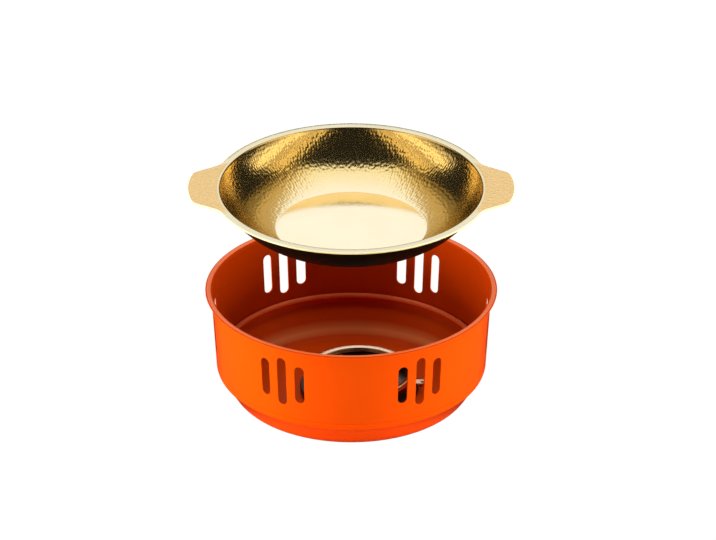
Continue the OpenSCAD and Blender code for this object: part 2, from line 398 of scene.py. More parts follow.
def on_wall(flat, depth, turn):
    """Places unrolled points on the wall, some depth under its outer face, turned to a slot group."""
    flat = np.asarray(flat)
    radius = wall_radius(flat[:, 1]) - depth
    angle = flat[:, 0] / MID_WALL_R + turn
    return np.stack([radius * np.cos(angle), radius * np.sin(angle), flat[:, 1]], axis=1)


def stove_wall():
    """Sheet wall with eased slot edges, a flat lip on top and a rounded lower edge."""
    # Finishes: the enamel, a paler copy as painted highlight, a darker copy as painted shade
    wall, edges, shaded_face = 0, 1, 2
    shape = Shape()
    edge = SHEET / 2
    sector = 2 * math.pi / SLOT_GROUPS
    half = sector / 2 * MID_WALL_R
    low = SEAM_Z + SEAM_ROUND
    high = BEND_CENTRE[1]
    columns = np.linspace(-half, half, SPIN_STEPS // SLOT_GROUPS + 1)
    rows = np.linspace(low, high, WALL_ROWS)
    outline = [(u, low) for u in columns]
    outline += [(half, v) for v in rows[1:-1]]
    outline += [(u, high) for u in columns[::-1]]
    outline += [(-half, v) for v in rows[-2:0:-1]]
    middles = [(i - 1) * SLOT_PITCH for i in range(len(SLOT_LENGTHS))]
    holes = [slot_loop(m, length, SLOT_EDGE_R) for m, length in zip(middles, SLOT_LENGTHS)]
    guards = [slot_loop(m, length, SLOT_GUARD) for m, length in zip(middles, SLOT_LENGTHS)]
    grid = np.array([(u, v) for u in columns[1:-1] for v in rows[1:-1]])
    for guard in guards:
        grid = grid[~inside(guard, grid)]
    inner_points = list(grid) + [p for guard in guards for p in guard]
    flat, faces = filled(outline, holes, inner_points)
    bends = np.linspace(0, math.pi / 2, SLOT_BENDS)
    rounding = [(SLOT_EDGE_R * (1 - math.sin(b)), SLOT_EDGE_R * (1 - math.cos(b))) for b in bends]
    rounding += [(grow, SHEET - depth) for grow, depth in rounding[::-1]]
    for group in range(SLOT_GROUPS):
        turn = group * sector
        shape.add(on_wall(flat, 0.0, turn), faces, wall)
        # The inner face and the slot edges are painted shade
        shape.add(on_wall(flat, SHEET, turn), [face[::-1] for face in faces], shaded_face)
        for middle, length in zip(middles, SLOT_LENGTHS):
            points = []
            for grow, depth in rounding:
                points.extend(on_wall(slot_loop(middle, length, grow), depth, turn))
            shape.add(points, stacked(len(rounding), len(points) // len(rounding)), shaded_face)
    # Lip: painted shade on its inner bend and along its outer edge, painted highlight on its flat top
    bend = arc(BEND_CENTRE, RIM_BEND + SHEET, 180, 90)
    flat_from = len(bend) - LIP_BEND_END
    outer = arc((RIM_R - edge, STOVE_H - edge), edge, 90, -90)
    highlight_end = (RIM_R - edge - LIP_EDGE_W, STOVE_H)
    lip = bend[flat_from:] + [highlight_end]
    shaded = [highlight_end] + outer[:LIP_EDGE_SPLIT + 1]
    under = outer[LIP_EDGE_SPLIT:] + arc(BEND_CENTRE, RIM_BEND, 90, 180)
    bands = ((bend[:flat_from + 1], shaded_face), (lip, edges), (shaded, shaded_face), (under, wall))
    for line, finish in bands:
        shape.add(*spun(line, closed=False), finish)
    foot_in = wall_radius(low) - SHEET
    foot_out = wall_radius(low)
    foot_mid = (foot_in + foot_out) / 2
    lower_edge = rounded(
        [(foot_in, low), (foot_in, SEAM_Z), (foot_mid, SEAM_Z), (foot_out, SEAM_Z), (foot_out, low)],
        [0, LOWER_EDGE_ROUND, 0, LOWER_EDGE_ROUND, 0])
    shape.add(*spun(lower_edge, closed=False), wall)
    return shape.build("stove_wall", sharp=50, weld=2e-6)


# Base pan


def base_outlines():
    """Section of the dished base pan: its outside up to the seam, its rolled collar, and its inside."""
    shoulder = (SEAM_R - SHOULDER_R, SEAM_Z)
    corner = (FOOT_R, CORNER_R)
    kink = polar(shoulder, SHOULDER_R, -SHOULDER_SWEEP)
    away = math.hypot(kink[0] - corner[0], kink[1] - corner[1])
    kink_angle = math.degrees(math.atan2(kink[1] - corner[1], kink[0] - corner[0]))
    corner_end = kink_angle - math.degrees(math.acos(CORNER_R / away))
    collar_r = SEAM_R - SHEET - LAP_GAP
    roll = (collar_r - ROLL_R, COLLAR_TOP - ROLL_R)
    roll_edge = polar(roll, ROLL_R - SHEET / 2, ROLL_END)
    ledge = rounded(
        [polar(shoulder, SHOULDER_R, LEDGE_START), (SEAM_R, SEAM_Z), (collar_r, SEAM_Z), (collar_r, roll[1])],
        [0, SEAM_ROUND, LEDGE_ROUND])
    outside = [(0.0, 0.0)]
    outside += arc(corner, CORNER_R, -90, corner_end, BASE_ARC_POINTS)
    outside += arc(shoulder, SHOULDER_R, -SHOULDER_SWEEP, SHOULDER_STOP, BASE_ARC_POINTS)
    outside += ledge
    collar = arc(roll, ROLL_R, 0, ROLL_END, ROLL_POINTS)
    collar += arc(roll_edge, SHEET / 2, ROLL_END, ROLL_END + 180, CORNER_POINTS)[1:-1]
    within = arc(roll, ROLL_R - SHEET, ROLL_END, 0, ROLL_POINTS // 2)
    collar.append(within[0])
    within.append((collar_r - SHEET, SEAM_Z - SHEET))
    within += arc(shoulder, SHOULDER_R - SHEET, JOG_ANGLE, -SHOULDER_SWEEP)
    within += arc(corner, CORNER_R - SHEET, corner_end, -90, BASE_ARC_POINTS)
    within.append((0.0, SHEET))
    return outside, collar, within


def base_dish():
    """The dished pan that the wall stands on."""
    shape = Shape()
    # Outside: lighter copy of the enamel, painted light; collar roll: painted highlight; inside: darker copy,
    # painted shade, with a painted highlight ring
    for finish, line in enumerate(base_outlines()):
        shape.add(*spun(line, closed=False), finish)
    return shape.build("base_dish", sharp=28, weld=5e-6)


# Hammered pan


def bowl_line():
    """Inner section of the bowl, from the flat flange down the bowed wall to the middle of the floor."""
    floor_z = PAN_Z - PAN_DEPTH
    chord = Vector((LIP_R - PAN_FLOOR_R, PAN_DEPTH))
    bow = math.sqrt(PAN_WALL_R ** 2 - chord.length_squared / 4)
    side = Vector((-chord.y, chord.x)).normalized()
    middle = Vector(((LIP_R + PAN_FLOOR_R) / 2, PAN_Z - PAN_DEPTH / 2))
    centre = middle + side * bow
    high = math.degrees(math.atan2(PAN_Z - centre.y, LIP_R - centre.x))
    low = math.degrees(math.atan2(floor_z - centre.y, PAN_FLOOR_R - centre.x))
    wall = arc(centre, PAN_WALL_R, high - LIP_TRIM, low + FLOOR_TRIM, BOWL_ARC_POINTS)
    lip = rounded([(LIP_R + 2 * LIP_ROUND, PAN_Z), (LIP_R, PAN_Z), wall[0]], [0, LIP_ROUND])
    corner = (PAN_FLOOR_R, floor_z)
    floor_edge = rounded([wall[-1], corner, (PAN_FLOOR_R - FLOOR_RUN, floor_z)], [0, FLOOR_ROUND])
    return centre, lip[1:] + wall[1:-1] + floor_edge[1:] + [(0.0, floor_z)]


def ear_side():
    """The upper side of the ear on the +X side, from the flange to the middle of its tip."""
    flare = math.radians(EAR_FLARE)
    normal = Vector((math.sin(flare), math.cos(flare)))
    along = Vector((math.cos(flare), -math.sin(flare)))
    away = normal.dot(Vector((EAR_TIP_X, EAR_TIP_W / 2)))
    crown = Vector((EAR_TIP_X - EAR_CROWN_R, 0.0))
    corner_out = EAR_CROWN_R - EAR_CORNER_R
    lean = math.degrees(math.acos((away - EAR_CORNER_R - normal.dot(crown)) / corner_out))
    crown_angle = 90 - EAR_FLARE - lean
    corner = polar(crown, corner_out, crown_angle)
    root_up = away + EAR_ROOT_R
    root_out = FLANGE_R + EAR_ROOT_R
    root = normal * root_up + along * math.sqrt(root_out ** 2 - root_up ** 2)
    root_angle = math.degrees(math.atan2(root.y, root.x))
    side = arc(root, EAR_ROOT_R, 180 + root_angle, 270 - EAR_FLARE, EAR_ARC_POINTS)
    side += arc(corner, EAR_CORNER_R, 90 - EAR_FLARE, crown_angle, EAR_ARC_POINTS)
    side += arc(crown, EAR_CROWN_R, crown_angle, 0)[1:]
    return side, root_angle


def pan_outline():
    """Outline of the flange with its two ears, counter-clockwise from the tip of the ear on +X."""
    side, root_angle = ear_side()
    quarter = side[::-1]
    quarter += arc((0.0, 0.0), FLANGE_R, root_angle, 90, FLANGE_ARC_POINTS)[1:]
    upper = quarter + [(-x, y) for x, y in quarter[::-1][1:]]
    whole = upper + [(x, -y) for x, y in upper[::-1][1:]]
    return resampled(whole, OUTLINE_SPACING)[:-1]


def inset(loop, margin):
    """A closed counter-clockwise outline moved inwards by a margin."""
    along = np.roll(loop, -1, axis=0) - np.roll(loop, 1, axis=0)
    along /= np.hypot(along[:, 0], along[:, 1])[:, None]
    return loop + margin * np.stack([-along[:, 1], along[:, 0]], axis=1)


def hammer_marks(line):
    """Centres of the hammer blows on the bowl and on both ears, the way each one runs, and its force."""
    dice = np.random.RandomState(HAMMER_SEED)
    row_step = HAMMER_STRETCH * HAMMER_PITCH * math.sqrt(3) / 2
    centres = []
    runs = []
    rows = resampled(line, row_step)
    slopes = np.gradient(rows, axis=0)
    slopes /= np.hypot(slopes[:, 0], slopes[:, 1])[:, None]
    for number, ((radius, height), (run_r, run_z)) in enumerate(zip(rows, slopes)):
        count = max(1, int(round(2 * math.pi * radius / HAMMER_PITCH)))
        for i in range(count):
            turn = 2 * math.pi * (i + 0.5 * (number % 2)) / count
            along, across = dice.uniform(-1, 1, 2) * HAMMER_STRAY
            turn += across / max(radius, HAMMER_PITCH)
            reach = radius + along * run_r
            centres.append((reach * math.cos(turn), reach * math.sin(turn), height + along * run_z))
            runs.append((run_r * math.cos(turn), run_r * math.sin(turn), run_z))
    for side in (1, -1):
        for number, x in enumerate(np.arange(EAR_FIRST_X, EAR_TIP_X + row_step, row_step)):
            for y in np.arange(-EAR_HALF_W, EAR_HALF_W, HAMMER_PITCH):
                along, across = dice.uniform(-1, 1, 2) * HAMMER_STRAY
                centres.append((side * (x + along), y + 0.5 * (number % 2) * HAMMER_PITCH + across, PAN_Z))
                runs.append((1.0, 0.0, 0.0))
    force = dice.uniform(*HAMMER_FORCE, len(centres))
    return np.array(centres), np.array(runs), force


def hammered(points, normals, marks, strength):
    """Points pushed in along their normals by the nearest of the long hammer blows."""
    centres, runs, force = marks
    tree = point_tree(centres)
    near = np.array([[found[1] for found in tree.find_n(point, NEAR_BLOWS)] for point in points])
    away = points[:, None] - centres[near]
    along = (away * runs[near]).sum(axis=2)
    across = (away ** 2).sum(axis=2) - along ** 2
    gaps = across + (along / HAMMER_STRETCH) ** 2
    first = gaps.argmin(axis=1)
    every = np.arange(len(points))
    bowl = np.clip(1 - gaps[every, first] / HAMMER_REACH ** 2, 0, 1)
    push = HAMMER_DEPTH * force[near[every, first]] * strength * bowl
    return points - normals * push[:, None]


def ramp(value, start, stop):
    """Smooth 0 to 1 as a value goes from start to stop."""
    share = np.clip((np.asarray(value) - start) / (stop - start), 0, 1)
    return share * share * (3 - 2 * share)


def hammered_pan():
    """Bowl, flange and ears as one closed sheet: gold and hammered above, black under the bowl."""
    gold, black, edge_gold = 0, 1, 2
    shape = Shape()
    centre, line = bowl_line()
    marks = hammer_marks(line)

    # Bowl, from the lip to the middle of the floor
    bowl = resampled(line, BOWL_SPACING)
    points, normals, faces = dished(bowl, BOWL_STEPS)
    radius = np.hypot(points[:, 0], points[:, 1])
    strength = ramp(radius, *(LIP_R + fade for fade in LIP_FADE))
    strength *= FLOOR_MARKS + (1 - FLOOR_MARKS) * ramp(radius, *(PAN_FLOOR_R + fade for fade in FLOOR_FADE))
    shape.add(hammered(points, normals, marks, strength), faces, gold)

    # Flat top of the flange and the ears
    outline = pan_outline()
    edge = PAN_SHEET / 2
    top_loop = inset(outline, edge)
    turn = np.arange(BOWL_STEPS) * 2 * np.pi / BOWL_STEPS
    lip_loop = np.stack([bowl[0, 0] * np.cos(turn), bowl[0, 0] * np.sin(turn)], axis=1)
    guard = inset(outline, GUARD_SHARE * edge)
    span = np.arange(0, EAR_TIP_X, EAR_SPACING)
    across = np.arange(-EAR_HALF_W, EAR_HALF_W, EAR_SPACING)
    grid = np.array([(s * x, y) for s in (1, -1) for x in span for y in across])
    grid = grid[np.hypot(grid[:, 0], grid[:, 1]) > LIP_R + POLISHED_W]
    grid = grid[inside(guard, grid)]
    flat, faces = filled(top_loop, [lip_loop], grid)
    plate = np.column_stack([flat, np.full(len(flat), PAN_Z)])
    up = np.tile([0.0, 0.0, 1.0], (len(plate), 1))
    strength = ramp(np.hypot(flat[:, 0], flat[:, 1]), LIP_R + POLISHED_W, LIP_R + 2 * POLISHED_W)
    strength *= ramp(np.abs(flat[:, 1]), *(share * EAR_HALF_W for share in EAR_FADE))
    strength *= EAR_MARKS * ramp(nearest_gap(flat, outline), edge, EDGE_FADE)
    shape.add(hammered(plate, up, marks, strength), faces, gold)

    # Half-round edge of the flange and the ears
    rim = []
    for bend in np.linspace(0, math.pi, RIM_BENDS):
        loop = inset(outline, edge * (1 - math.sin(bend)))
        height = PAN_Z - edge * (1 - math.cos(bend))
        rim.extend((x, y, height) for x, y in loop)
    shape.add(rim, stacked(RIM_BENDS, len(outline)), edge_gold)

    # Underside of the flange and the ears
    under_z = PAN_Z - PAN_SHEET
    out_r = PAN_WALL_R + PAN_SHEET
    under_r = centre.x + math.sqrt(out_r ** 2 - (under_z - centre.y) ** 2)
    neck_loop = np.stack([under_r * np.cos(turn), under_r * np.sin(turn)], axis=1)
    flat, faces = filled(top_loop, [neck_loop], grid[::UNDER_THINNING])
    plate = np.column_stack([flat, np.full(len(flat), under_z)])
    shape.add(plate, [face[::-1] for face in faces], gold)

    # Black outside of the bowl
    drop = PAN_BOTTOM - centre.y
    low = math.degrees(math.atan2(drop, math.sqrt(out_r ** 2 - drop ** 2)))
    high = math.degrees(math.atan2(under_z - centre.y, under_r - centre.x))
    outside = arc(centre, out_r, high, low, OUTSIDE_ARC_POINTS)
    base_r = outside[-1][0]
    outside = rounded(outside[:-1] + [(base_r, PAN_BOTTOM), (0.0, PAN_BOTTOM)],
                      [0] * (len(outside) - 1) + [PAN_FOOT_ROUND])
    points, _, faces = dished(outside, BOWL_STEPS)
    shape.add(points, faces, black)
    return shape.build("hammered_pan", sharp=60, weld=2e-6)


# Burner ring


def burner_collar():
    """Channel-shaped steel ring with a rounded crown."""
    wall = 1.0 * MM
    channel_w = 4.68 * MM
    inner = RING_R - channel_w
    crown = 0.9 * MM
    dip = 0.9 * MM
    cup_rest = RING_TOP - wall - dip
    outline = rounded(
        [(inner, RING_LOW), (inner, RING_TOP - dip), (RING_R - wall, RING_TOP), (RING_R, RING_TOP),
         (RING_R, RING_LOW), (RING_R - wall, RING_LOW), (RING_R - wall, cup_rest), (inner + wall, cup_rest),
         (inner + wall, RING_LOW), (inner, RING_LOW)],
        [0, crown, 0, crown, wall / 3, wall / 3, 0, 0, wall / 3])
    points, faces = spun(outline, closed=False)
    points[:, 0] += BURNER_X
    shape = Shape()
    shape.add(points, faces)
    return shape.build("burner_collar", sharp=40, weld=5e-6)


# Shared surface effects


def add_node(tree, kind, **settings):
    """A new node with its settings."""
    node = tree.nodes.new(kind)
    for name, value in settings.items():
        setattr(node, name, value)
    return node


def new_group(name, inputs, outputs):
    """An empty shader group with float inputs and outputs, and its two end nodes."""
    group = bpy.data.node_groups.new(name, "ShaderNodeTree")
    for label, value in inputs:
        socket = group.interface.new_socket(name=label, in_out="INPUT", socket_type="NodeSocketFloat")
        socket.default_value = value
    for label in outputs:
        group.interface.new_socket(name=label, in_out="OUTPUT", socket_type="NodeSocketFloat")
    return group, group.nodes.new("NodeGroupInput"), group.nodes.new("NodeGroupOutput")


def blotch_group():
    """Soft uneven patches and a finer grain, as two values round 0.5."""
    group, source, sink = new_group("blotch", [("Patch Scale", 12.0), ("Grain Scale", 400.0)],
                                    ["Patches", "Grain"])
    place = add_node(group, "ShaderNodeTexCoord")
    for label, output, detail in (("Patch Scale", "Patches", 3.0), ("Grain Scale", "Grain", 2.0)):
        noise = add_node(group, "ShaderNodeTexNoise")
        noise.inputs["Detail"].default_value = detail
        group.links.new(place.outputs["Object"], noise.inputs["Vector"])
        group.links.new(source.outputs[label], noise.inputs["Scale"])
        group.links.new(noise.outputs["Fac"], sink.inputs[output])
    return group


def peel_group():
    """Height of a sprayed or baked film: small rounded lumps with a longer ripple under them."""
    group, source, sink = new_group("film_peel", [("Lump Scale", 700.0), ("Ripple", 0.3)], ["Height"])
    place = add_node(group, "ShaderNodeTexCoord")
    lumps = add_node(group, "ShaderNodeTexNoise")
    lumps.inputs["Detail"].default_value = 1.0
    ripple = add_node(group, "ShaderNodeTexNoise")
    ripple.inputs["Scale"].default_value = 60.0
    join = add_node(group, "ShaderNodeMath", operation="MULTIPLY_ADD")
    for noise in (lumps, ripple):
        group.links.new(place.outputs["Object"], noise.inputs["Vector"])
    group.links.new(source.outputs["Lump Scale"], lumps.inputs["Scale"])
    group.links.new(ripple.outputs["Fac"], join.inputs[0])
    group.links.new(source.outputs["Ripple"], join.inputs[1])
    group.links.new(lumps.outputs["Fac"], join.inputs[2])
    group.links.new(join.outputs["Value"], sink.inputs["Height"])
    return group


def axis_group():
    """Distance from an upright axis that crosses the X axis, and from the XZ plane."""
    group, source, sink = new_group("axis_distance", [("Axis X", 0.0)], ["Distance", "Across"])
    place = add_node(group, "ShaderNodeTexCoord")
    split = add_node(group, "ShaderNodeSeparateXYZ")
    shift = add_node(group, "ShaderNodeMath", operation="SUBTRACT")
    flat = add_node(group, "ShaderNodeCombineXYZ")
    length = add_node(group, "ShaderNodeVectorMath", operation="LENGTH")
    group.links.new(place.outputs["Object"], split.inputs["Vector"])
    group.links.new(split.outputs["X"], shift.inputs[0])
    group.links.new(source.outputs["Axis X"], shift.inputs[1])
    group.links.new(shift.outputs["Value"], flat.inputs["X"])
    group.links.new(split.outputs["Y"], flat.inputs["Y"])
    group.links.new(flat.outputs["Vector"], length.inputs[0])
    group.links.new(length.outputs["Value"], sink.inputs["Distance"])
    across = add_node(group, "ShaderNodeMath", operation="ABSOLUTE")
    group.links.new(split.outputs["Y"], across.inputs[0])
    group.links.new(across.outputs["Value"], sink.inputs["Across"])
    return group


BLOTCH = blotch_group()
PEEL = peel_group()
AXIS = axis_group()

# Range that the noise values fill, depth of a baked film, and how far edge-on the enamel gets its painted
# shade
NOISE_SPREAD = (0.3, 0.7)
FILM_RELIEF = 0.02 * MM
EDGE_ON_FROM = 0.72

# Where the gold changes: past the floor's painted highlight, the lip, the polished ring and the ears, then
# its roughness
FLOOR_HIGHLIGHT_SPAN = (PAN_FLOOR_R - 2 * MM, PAN_FLOOR_R + 26 * MM)
GLOSSY_FLOOR = (PAN_FLOOR_R - 4 * MM, PAN_FLOOR_R)
LIP_BLEND = (LIP_R - 0.4 * MM, LIP_R + 0.4 * MM)
RING_BLEND = (LIP_R + 0.8 * POLISHED_W, LIP_R + 1.2 * POLISHED_W)
EAR_BLEND = (0.75 * EAR_HALF_W, 0.95 * EAR_HALF_W)
EAR_SPREAD = (0.36, 0.64)
GOLD_ROUGHNESS = (0.12, 0.22)
FLOOR_GLOSS = 0.45
EAR_SATIN = 2.1
TURNING_SCALE = 9000.0


class Finish:
    """A material with its Principled shader and short ways to wire the shared effects into it."""

    def __init__(self, name, metallic=0.0, roughness=0.5):
        self.material = bpy.data.materials.new(name)
        self.material.use_nodes = True
        self.tree = self.material.node_tree
        self.shader = self.tree.nodes["Principled BSDF"]
        self.shader.inputs["Metallic"].default_value = metallic
        self.shader.inputs["Roughness"].default_value = roughness

    def set(self, **numbers):
        """Plain numbers on the shader's own sockets, named with underscores for spaces."""
        for name, value in numbers.items():
            self.shader.inputs[name.replace("_", " ")].default_value = value
        return self

    def node(self, kind, **settings):
        """A new node in this material."""
        return add_node(self.tree, kind, **settings)

    def wire(self, output, socket):
        """A link from an output to a socket."""
        self.tree.links.new(output, socket)

    def group(self, group, **numbers):
        """One of the shared effects, with this material's own values."""
        node = self.node("ShaderNodeGroup", node_tree=group)
        for name, value in numbers.items():
            node.inputs[name.replace("_", " ")].default_value = value
        return node

    def tones(self, value, dark, light, spread=NOISE_SPREAD):
        """A colour between two tones, by a value round 0.5."""
        mix = self.node("ShaderNodeValToRGB")
        mix.color_ramp.elements[0].position = spread[0]
        mix.color_ramp.elements[0].color = (*dark, 1.0)
        mix.color_ramp.elements[1].position = spread[1]
        mix.color_ramp.elements[1].color = (*light, 1.0)
        self.wire(value, mix.inputs["Fac"])
        return mix.outputs["Color"]

    def colours(self, value, dark, light):
        """Base colour between two tones."""
        self.wire(self.tones(value, dark, light), self.shader.inputs["Base Color"])

    def span(self, value, start, stop, low=0.0, high=1.0):
        """A value's range carried over to another range, and held at its ends."""
        node = self.node("ShaderNodeMapRange")
        for name, number in (("From Min", start), ("From Max", stop), ("To Min", low), ("To Max", high)):
            node.inputs[name].default_value = number
        self.wire(value, node.inputs["Value"])
        return node.outputs["Result"]

    def mix(self, share, first, second):
        """A colour between two others."""
        node = self.node("ShaderNodeMixRGB")
        for output, name in ((share, "Fac"), (first, "Color1"), (second, "Color2")):
            self.wire(output, node.inputs[name])
        return node.outputs["Color"]

    def product(self, first, second):
        """Two values multiplied."""
        node = self.node("ShaderNodeMath", operation="MULTIPLY")
        self.wire(first, node.inputs[0])
        self.wire(second, node.inputs[1])
        return node.outputs["Value"]

    def gloss(self, value, low, high):
        """Roughness between two limits, by a value round 0.5."""
        self.wire(self.span(value, *NOISE_SPREAD, low, high), self.shader.inputs["Roughness"])

    def bump(self, height, depth):
        """Surface relief, as a depth in metres."""
        relief = self.node("ShaderNodeBump")
        relief.inputs["Distance"].default_value = depth
        relief.inputs["Strength"].default_value = 1.0
        self.wire(height, relief.inputs["Height"])
        self.wire(relief.outputs["Normal"], self.shader.inputs["Normal"])


# Finishes of this object


def orange_enamel(name, dark, light, sheen, low, high, highlight_ring=None, edge_on_shade=None):
    """Baked orange enamel: two tones, reflection, roughness, a painted highlight ring, and painted shade
    where it is seen edge-on.
    """
    finish = Finish(name).set(Specular_IOR_Level=sheen)
    blotch = finish.group(BLOTCH, Patch_Scale=9.0, Grain_Scale=900.0)
    peel = finish.group(PEEL, Lump_Scale=650.0, Ripple=0.5)
    colour = finish.tones(blotch.outputs["Patches"], dark, light)
    if highlight_ring:
        # Painted highlight: a paler ring round the axis, on the curved corner of the inside floor
        reach = finish.group(AXIS).outputs["Distance"]
        ring = finish.product(finish.span(reach, HIGHLIGHT_RING_R - HIGHLIGHT_RING_W, HIGHLIGHT_RING_R),
                              finish.span(reach, HIGHLIGHT_RING_R, HIGHLIGHT_RING_R + HIGHLIGHT_RING_W, 1.0, 0.0))
        highlight_tone = finish.tones(blotch.outputs["Grain"], highlight_ring, highlight_ring)
        colour = finish.mix(ring, colour, highlight_tone)
    if edge_on_shade:
        # Painted shade: darker where the surface is seen edge-on
        facing = finish.node("ShaderNodeLayerWeight")
        shade = finish.span(facing.outputs["Facing"], EDGE_ON_FROM, 1.0)
        shade_tone = finish.tones(blotch.outputs["Patches"], edge_on_shade, edge_on_shade)
        colour = finish.mix(shade, colour, shade_tone)
    finish.wire(colour, finish.shader.inputs["Base Color"])
    finish.gloss(blotch.outputs["Grain"], low, high)
    finish.bump(peel.outputs["Height"], FILM_RELIEF)
    return finish.material


def hammered_gold():
    """Gold-coloured metal: paler on the bowl's floor as a painted highlight, and a greyer tone on the lip's
    ring and the flange.
    """
    finish = Finish("hammered_gold", metallic=1.0)
    blotch = finish.group(BLOTCH, Patch_Scale=30.0, Grain_Scale=700.0)
    peel = finish.group(PEEL, Lump_Scale=900.0, Ripple=0.4)
    axis = finish.group(AXIS)
    reach = axis.outputs["Distance"]
    wall = finish.tones(blotch.outputs["Patches"], (0.91, 0.67, 0.27), (0.96, 0.72, 0.31))
    ear = finish.tones(blotch.outputs["Grain"], (0.94, 0.61, 0.28), (1.0, 0.76, 0.385), EAR_SPREAD)
    # Painted highlight: the floor's tone is paler than the wall's
    floor = finish.tones(blotch.outputs["Patches"], (0.93, 0.80, 0.58), (0.97, 0.84, 0.62))
    ring = finish.tones(blotch.outputs["Patches"], (0.76, 0.68, 0.48), (0.80, 0.72, 0.52))
    past_floor = finish.span(reach, *FLOOR_HIGHLIGHT_SPAN)
    past_lip = finish.span(reach, *LIP_BLEND)
    past_ring = finish.span(reach, *RING_BLEND)
    off_ears = finish.span(axis.outputs["Across"], *EAR_BLEND)
    flange = finish.mix(off_ears, ear, ring)
    edge = finish.mix(past_ring, ring, flange)
    bowl = finish.mix(past_floor, floor, wall)
    finish.wire(finish.mix(past_lip, bowl, edge), finish.shader.inputs["Base Color"])
    on_ears = finish.product(past_ring, finish.span(axis.outputs["Across"], *EAR_BLEND, 1.0, 0.0))
    smooth_floor = finish.span(reach, *GLOSSY_FLOOR, FLOOR_GLOSS, 1.0)
    satin_ears = finish.span(on_ears, 0.0, 1.0, 1.0, EAR_SATIN)
    grain = finish.span(blotch.outputs["Grain"], *NOISE_SPREAD, *GOLD_ROUGHNESS)
    finish.wire(finish.product(finish.product(grain, smooth_floor), satin_ears),
                finish.shader.inputs["Roughness"])
    finish.bump(peel.outputs["Height"], FILM_RELIEF)
    return finish.material


def dull_edge():
    """The duller, paler edge round the flange and the ears."""
    finish = Finish("dull_edge", metallic=0.1).set(Specular_IOR_Level=0.1)
    blotch = finish.group(BLOTCH, Patch_Scale=45.0, Grain_Scale=1500.0)
    finish.colours(blotch.outputs["Patches"], (0.81, 0.68, 0.45), (0.89, 0.76, 0.53))
    finish.gloss(blotch.outputs["Grain"], 0.42, 0.56)
    finish.bump(blotch.outputs["Grain"], 0.01 * MM)
    return finish.material


def black_coating():
    """Matt black coating under the bowl."""
    finish = Finish("black_coating").set(Specular_IOR_Level=0.05)
    blotch = finish.group(BLOTCH, Patch_Scale=25.0, Grain_Scale=1600.0)
    finish.colours(blotch.outputs["Grain"], (0.002, 0.0015, 0.001), (0.005, 0.004, 0.003))
    finish.gloss(blotch.outputs["Patches"], 0.36, 0.46)
    finish.bump(blotch.outputs["Grain"], 0.03 * MM)
    return finish.material


def black_enamel():
    """Satin black enamel of the burner."""
    finish = Finish("black_enamel").set(Specular_IOR_Level=0.5)
    blotch = finish.group(BLOTCH, Patch_Scale=40.0, Grain_Scale=1500.0)
    peel = finish.group(PEEL, Lump_Scale=1100.0, Ripple=0.4)
    finish.colours(blotch.outputs["Patches"], (0.008, 0.007, 0.007), (0.018, 0.016, 0.015))
    finish.gloss(blotch.outputs["Grain"], 0.26, 0.38)
    finish.bump(peel.outputs["Height"], FILM_RELIEF)
    return finish.material


def turned_steel(name, dark, light, low, high):
    """Steel with fine turning lines round the burner's axis."""
    finish = Finish(name, metallic=1.0)
    axis = finish.group(AXIS, Axis_X=BURNER_X)
    lines = finish.node("ShaderNodeTexNoise", noise_dimensions="1D")
    lines.inputs["Scale"].default_value = TURNING_SCALE
    finish.wire(axis.outputs["Distance"], lines.inputs["W"])
    blotch = finish.group(BLOTCH, Patch_Scale=35.0, Grain_Scale=900.0)
    finish.colours(blotch.outputs["Patches"], dark, light)
    finish.gloss(lines.outputs["Fac"], low, high)
    finish.bump(lines.outputs["Fac"], 0.006 * MM)
    return finish.material


def wick_felt():
    """Dry fibre felt of the wick."""
    finish = Finish("wick_felt", roughness=0.95).set(Sheen_Weight=0.2)
    blotch = finish.group(BLOTCH, Patch_Scale=120.0, Grain_Scale=2500.0)
    finish.colours(blotch.outputs["Grain"], (0.42, 0.38, 0.31), (0.66, 0.61, 0.52))
    finish.bump(blotch.outputs["Grain"], 0.4 * MM)
    return finish.material


# Stage, lights and camera


def ray_sum(tree, weights):
    """A value that depends on the kind of ray, from the weight of each kind."""
    path = add_node(tree, "ShaderNodeLightPath")
    total = None
    for ray, weight in weights.items():
        add = add_node(tree, "ShaderNodeMath", operation="MULTIPLY_ADD")
        tree.links.new(path.outputs[ray], add.inputs[0])
        add.inputs[1].default_value = weight
        add.inputs[2].default_value = 0.0
        if total:
            tree.links.new(total, add.inputs[2])
        total = add.outputs["Value"]
    return total


def stage_material(name, shares, strengths, glow, paint_tone):
    """Plain paint for soft light; some kinds of ray see a share of glow, at their own strength."""
    material = bpy.data.materials.new(name)
    material.use_nodes = True
    material.cycles.emission_sampling = "NONE"
    tree = material.node_tree
    tree.nodes.clear()
    paint = add_node(tree, "ShaderNodeBsdfDiffuse")
    paint.inputs["Color"].default_value = (*paint_tone, 1.0)
    light = add_node(tree, "ShaderNodeEmission")
    light.inputs["Color"].default_value = (*glow, 1.0)
    tree.links.new(ray_sum(tree, strengths), light.inputs["Strength"])
    mix = add_node(tree, "ShaderNodeMixShader")
    tree.links.new(ray_sum(tree, shares), mix.inputs["Fac"])
    tree.links.new(paint.outputs["BSDF"], mix.inputs[1])
    tree.links.new(light.outputs["Emission"], mix.inputs[2])
    output = add_node(tree, "ShaderNodeOutputMaterial")
    tree.links.new(mix.outputs["Shader"], output.inputs["Surface"])
    return material


def stage_panel(name, corners, material):
    """A flat quad of the set, which isn't part of the object."""
    mesh = bpy.data.meshes.new(name)
    mesh.from_pydata(corners, [], [(0, 1, 2, 3)])
    mesh.materials.append(material)
    panel = bpy.data.objects.new(name, mesh)
    bpy.context.scene.collection.objects.link(panel)
    return panel


